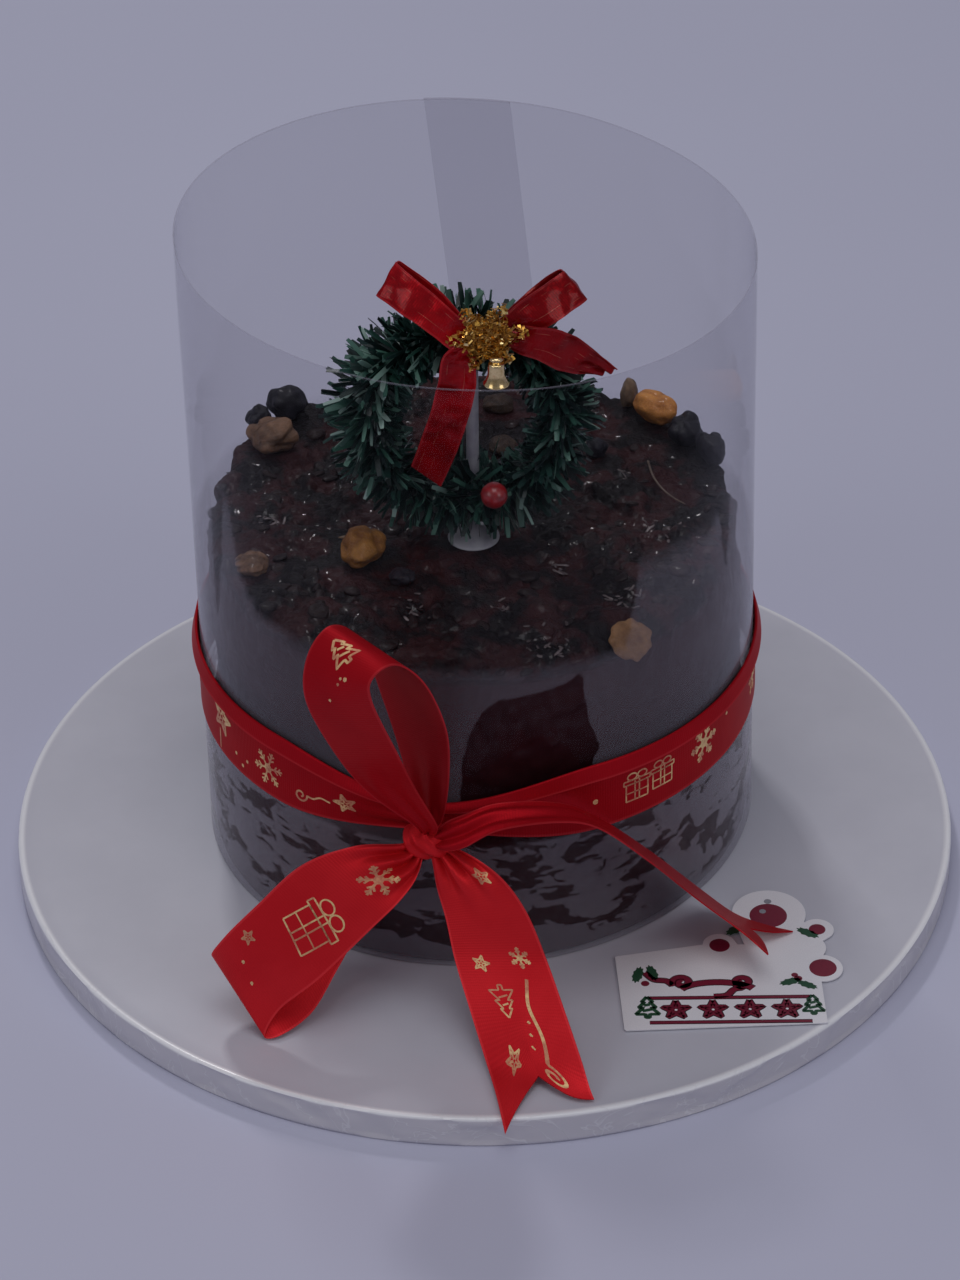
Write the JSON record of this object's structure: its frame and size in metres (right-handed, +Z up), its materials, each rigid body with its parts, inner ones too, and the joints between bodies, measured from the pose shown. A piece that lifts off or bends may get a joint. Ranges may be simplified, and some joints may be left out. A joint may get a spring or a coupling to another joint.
{
  "type": "plate of christmas cake",
  "caption": "Dark fruit cake on a round white board, inside a clear film sleeve tied with a printed red ribbon bow, topped with glazed fruit and a small tinsel wreath on a stand.",
  "frame": {"origin": "middle of the round board's flat underside, which stands on the table", "axes": "+Z up; -Y towards the front, where the big ribbon bow is tied; +X to the right as seen from the front"},
  "size_m": [0.2566, 0.2617, 0.1878],
  "materials": {
    "board": "white laminated board, satin",
    "film": "clear flexible film, glossy, slightly fogged where the cake touches it",
    "cake": "moist dark fruit cake: rough crumb with glazed, glossy lumps",
    "golden_fruit": "soaked golden dried fruit, glazed",
    "apricot": "dried apricot, glazed",
    "prune": "dark prune and raisin, wrinkled and glazed",
    "ribbon": "red satin ribbon with gold foil print",
    "bow_ribbon": "narrow red ribbon with glittering thread",
    "tinsel": "green plastic tinsel needles",
    "stand": "white moulded plastic",
    "glitter": "coarse gold glitter",
    "bell": "gold plated, polished",
    "berry": "red lacquered berry",
    "card": "white laminated printed card"
  },
  "bodies": {
    "root": {"board": "board", "film_sleeve": "film", "cake": "cake", "golden_fruit_left": "golden_fruit", "golden_fruit_front": "golden_fruit", "golden_fruit_side": "golden_fruit", "round_fruit_slice": "golden_fruit", "apricot_right": "apricot", "apricot_sliver": "apricot", "fruit_behind_wreath": "golden_fruit", "fruit_at_the_back": "golden_fruit", "prune_left": "prune", "prune_left_edge": "prune", "prune_right": "prune", "prune_edge": "prune", "raisin_ball": "prune", "raisin_front": "prune", "wreath_stand": "stand", "wreath_tinsel": "tinsel", "ribbon_band": "ribbon", "ribbon_knot": "ribbon", "ribbon_loop_upper": "ribbon", "ribbon_loop_lower": "ribbon", "ribbon_tail_front": "ribbon", "ribbon_tail_side": "ribbon", "bow_loop_left": "bow_ribbon", "bow_loop_right": "bow_ribbon", "bow_tail_left": "bow_ribbon", "bow_tail_right": "bow_ribbon", "bow_star": "glitter", "bow_bell": "bell", "bow_berry": "berry", "card": "card"}
  },
  "joints": []
}
